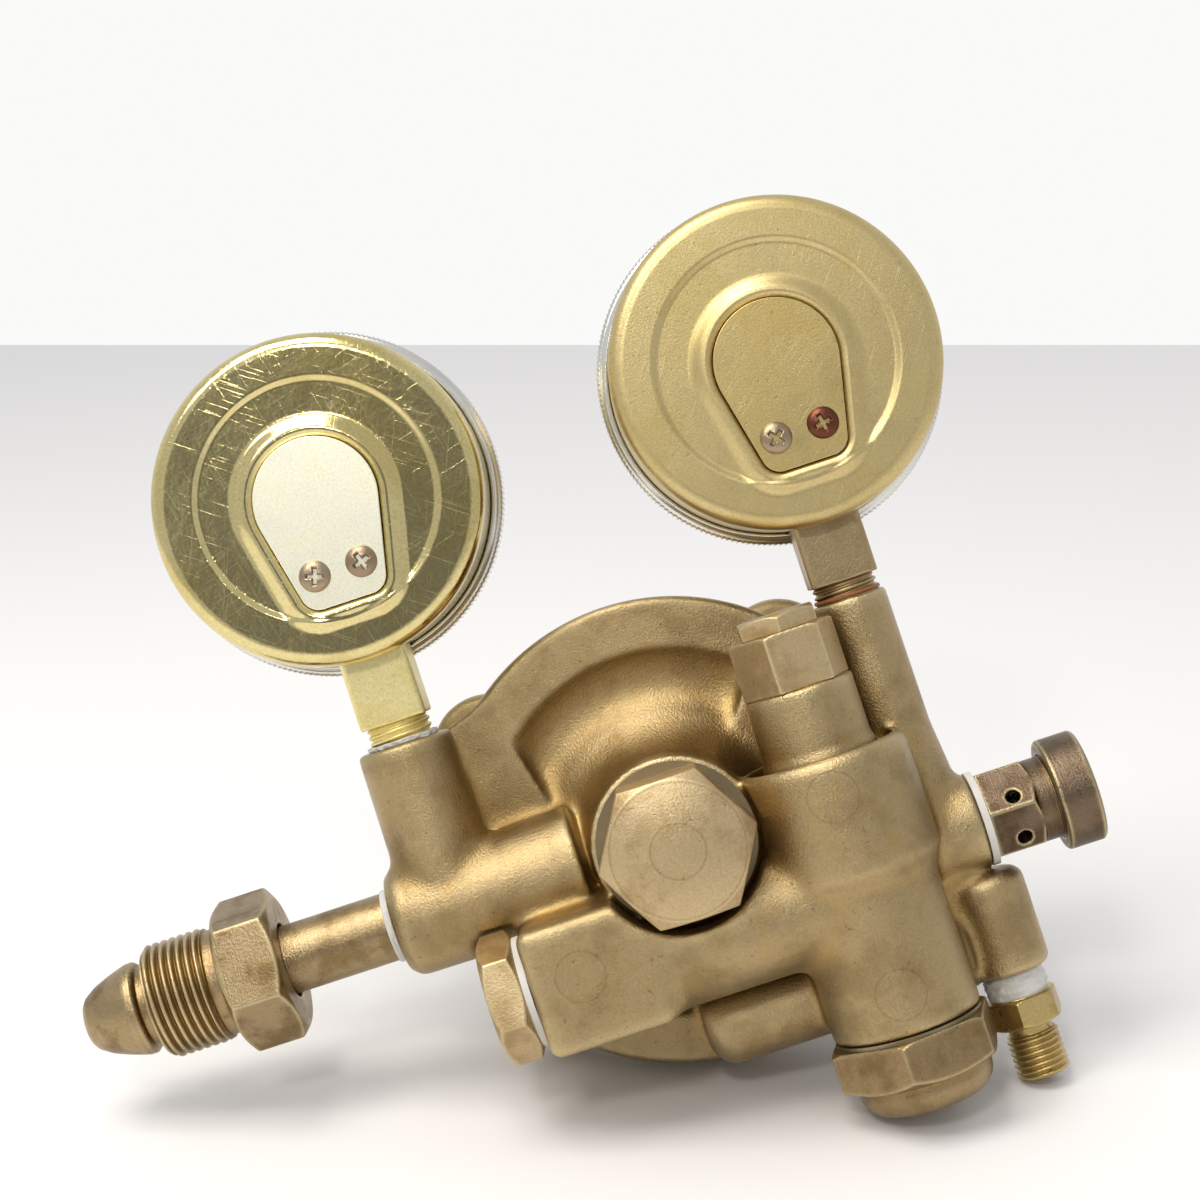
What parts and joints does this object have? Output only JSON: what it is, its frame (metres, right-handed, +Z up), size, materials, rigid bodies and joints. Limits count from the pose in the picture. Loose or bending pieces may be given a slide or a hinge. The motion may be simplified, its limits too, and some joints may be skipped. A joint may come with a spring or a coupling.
{
  "type": "gas pressure regulator",
  "caption": "Two-stage brass cylinder regulator with inlet nut, pressure gauges, relief valve, outlet fitting and a T-handle on its front.",
  "frame": {"origin": "middle of the inlet nut's thread, on the inlet axis", "axes": "+X along the inlet axis, out towards the cylinder valve; +Z up towards the gauges; +Y to the back, away from the handle and the gauge faces"},
  "size_m": [0.2172, 0.1376, 0.1981],
  "materials": {
    "forged_brass": "aged satin forging",
    "turned_brass": "tarnished, turned",
    "bonnet_brass": "aged satin forging",
    "inlet_brass": "tarnished, turned",
    "relief_brass": "brown tarnish",
    "fitting_brass": "bright, turned",
    "inner_brass": "clean, turned",
    "sintered_bronze": "porous",
    "steel": "satin",
    "spring_steel": "drawn wire",
    "grey_gasket": "soft, pressed",
    "white_washer": "nylon",
    "thread_tape": "thin wrapped tape",
    "diaphragm_rubber": "fabric-filled sheet",
    "inlet_case_brass": "polished, scratched",
    "inlet_plate_brass": "bright sheet",
    "inlet_socket_brass": "bright, milled",
    "delivery_case_brass": "dull satin",
    "delivery_plate_brass": "dull sheet",
    "delivery_socket_brass": "dull, milled",
    "case_screw_steel": "tarnished",
    "bezel_chrome": "knurled plating",
    "gauge_glass": "clear",
    "dial_white": "matt white",
    "pointer_black": "matt black"
  },
  "bodies": {
    "regulator": {"body": "forged_brass", "seat_cap": "turned_brass", "passage_plug": "turned_brass", "first_stage_top_cap": "turned_brass", "first_stage_adjusting_plug": "turned_brass", "first_stage_spring_cap": "turned_brass", "bonnet": "bonnet_brass", "inlet_nipple": "inlet_brass", "relief_valve_body": "relief_brass", "relief_valve_cap": "relief_brass", "outlet_fitting": "fitting_brass", "first_stage_nozzle": "inner_brass", "second_stage_nozzle": "inner_brass", "inlet_gauge_movement_frame": "inner_brass", "inlet_gauge_bourdon_tube": "inner_brass", "delivery_gauge_movement_frame": "inner_brass", "delivery_gauge_bourdon_tube": "inner_brass", "inlet_filter": "sintered_bronze", "bonnet_screws": "steel", "adjusting_spring": "spring_steel", "first_stage_spring": "spring_steel", "first_stage_valve_spring": "spring_steel", "second_stage_valve_spring": "spring_steel", "relief_valve_spring": "spring_steel", "seat_cap_gasket": "grey_gasket", "first_stage_cap_gasket": "grey_gasket", "passage_plug_washer": "white_washer", "relief_valve_washer": "white_washer", "nipple_seal_ring": "white_washer", "outlet_thread_tape": "thread_tape", "diaphragm": "diaphragm_rubber", "inlet_gauge_case": "inlet_case_brass", "inlet_gauge_back_plate": "inlet_plate_brass", "inlet_gauge_socket": "inlet_socket_brass", "delivery_gauge_case": "delivery_case_brass", "delivery_gauge_back_plate": "delivery_plate_brass", "delivery_gauge_socket": "delivery_socket_brass", "inlet_gauge_case_screws": "case_screw_steel", "delivery_gauge_case_screws": "case_screw_steel", "inlet_gauge_bezel": "bezel_chrome", "delivery_gauge_bezel": "bezel_chrome", "inlet_gauge_lens": "gauge_glass", "delivery_gauge_lens": "gauge_glass", "inlet_gauge_dial": "dial_white", "delivery_gauge_dial": "dial_white"},
    "inlet_nut": {"inlet_nut": "inlet_brass"},
    "adjusting_screw": {"adjusting_screw": "steel", "adjusting_handle": "steel"},
    "spring_button": {"spring_button": "steel"},
    "diaphragm_plate": {"diaphragm_plate": "steel"},
    "second_stage_valve": {"second_stage_valve": "inner_brass"},
    "first_stage_piston": {"first_stage_piston": "inner_brass", "first_stage_valve": "inner_brass"},
    "relief_poppet": {"relief_poppet": "inner_brass"},
    "inlet_gauge_sector": {"inlet_gauge_sector": "inner_brass"},
    "inlet_gauge_pointer": {"inlet_gauge_pointer": "pointer_black"},
    "inlet_gauge_link": {"inlet_gauge_link": "inner_brass"},
    "delivery_gauge_sector": {"delivery_gauge_sector": "inner_brass"},
    "delivery_gauge_pointer": {"delivery_gauge_pointer": "pointer_black"},
    "delivery_gauge_link": {"delivery_gauge_link": "inner_brass"}
  },
  "joints": [
    {"name": "inlet_nut_turn", "type": "hinge", "parent": "regulator", "child": "inlet_nut", "pos_m": [0, 0, 0], "axis": [1, 0, 0], "continuous": true},
    {"name": "spring_button_slide", "type": "slide", "parent": "regulator", "child": "spring_button", "axis": [0, 1, 0], "range_m": [0, 0.008], "deforming": ["adjusting_spring"]},
    {"name": "adjusting_screw_turn", "type": "hinge", "parent": "spring_button", "child": "adjusting_screw", "pos_m": [-0.108, -0.007, 0], "axis": [0, 1, 0], "range_deg": [0, 1441]},
    {"name": "diaphragm_plate_slide", "type": "slide", "parent": "regulator", "child": "diaphragm_plate", "axis": [0, 1, 0], "range_m": [0, 0.0008], "stiffness_N_per_m": 2000, "springref_m": -0.0005, "deforming": ["diaphragm", "adjusting_spring"]},
    {"name": "second_stage_valve_slide", "type": "slide", "parent": "regulator", "child": "second_stage_valve", "axis": [0, 1, 0], "range_m": [0, 0.0008], "deforming": ["second_stage_valve_spring"]},
    {"name": "first_stage_piston_slide", "type": "slide", "parent": "regulator", "child": "first_stage_piston", "axis": [0, 0, -1], "range_m": [0, 0.0008], "stiffness_N_per_m": 4000, "springref_m": -0.0005, "deforming": ["first_stage_spring", "first_stage_valve_spring"]},
    {"name": "relief_poppet_slide", "type": "slide", "parent": "regulator", "child": "relief_poppet", "axis": [-1, 0, 0], "range_m": [0, 0.0015], "stiffness_N_per_m": 1500, "springref_m": -0.0005, "deforming": ["relief_valve_spring"]},
    {"name": "inlet_gauge_sector_turn", "type": "hinge", "parent": "regulator", "child": "inlet_gauge_sector", "pos_m": [-0.0597, -0.007, 0.0731], "axis": [0, -1, 0], "range_deg": [0, 33.75], "stiffness_Nm_per_rad": 0.01, "springref_deg": -5.73},
    {"name": "inlet_gauge_pointer_turn", "type": "hinge", "parent": "regulator", "child": "inlet_gauge_pointer", "pos_m": [-0.0597, -0.007, 0.0893], "axis": [0, 1, 0], "range_deg": [0, 270]},
    {"name": "inlet_gauge_link_turn", "type": "hinge", "parent": "inlet_gauge_sector", "child": "inlet_gauge_link", "pos_m": [-0.05256, -0.007, 0.07158], "axis": [0, -1, 0], "range_deg": [-33.75, 0]},
    {"name": "delivery_gauge_sector_turn", "type": "hinge", "parent": "regulator", "child": "delivery_gauge_sector", "pos_m": [-0.158, -0.007, 0.0704], "axis": [0, -1, 0], "range_deg": [0, 33.75], "stiffness_Nm_per_rad": 0.01, "springref_deg": -5.73},
    {"name": "delivery_gauge_pointer_turn", "type": "hinge", "parent": "regulator", "child": "delivery_gauge_pointer", "pos_m": [-0.158, -0.007, 0.0866], "axis": [0, 1, 0], "range_deg": [0, 270]},
    {"name": "delivery_gauge_link_turn", "type": "hinge", "parent": "delivery_gauge_sector", "child": "delivery_gauge_link", "pos_m": [-0.15086, -0.007, 0.06888], "axis": [0, -1, 0], "range_deg": [-33.75, 0]}
  ],
  "couplings": [
    {"joint": "adjusting_screw_turn", "follows": "spring_button_slide", "rad_per_m": 3141.6},
    {"joint": "second_stage_valve_slide", "follows": "diaphragm_plate_slide", "ratio": 1},
    {"joint": "inlet_gauge_pointer_turn", "follows": "inlet_gauge_sector_turn", "ratio": 8},
    {"joint": "inlet_gauge_link_turn", "follows": "inlet_gauge_sector_turn", "ratio": -1},
    {"joint": "delivery_gauge_pointer_turn", "follows": "delivery_gauge_sector_turn", "ratio": 8},
    {"joint": "delivery_gauge_link_turn", "follows": "delivery_gauge_sector_turn", "ratio": -1}
  ]
}
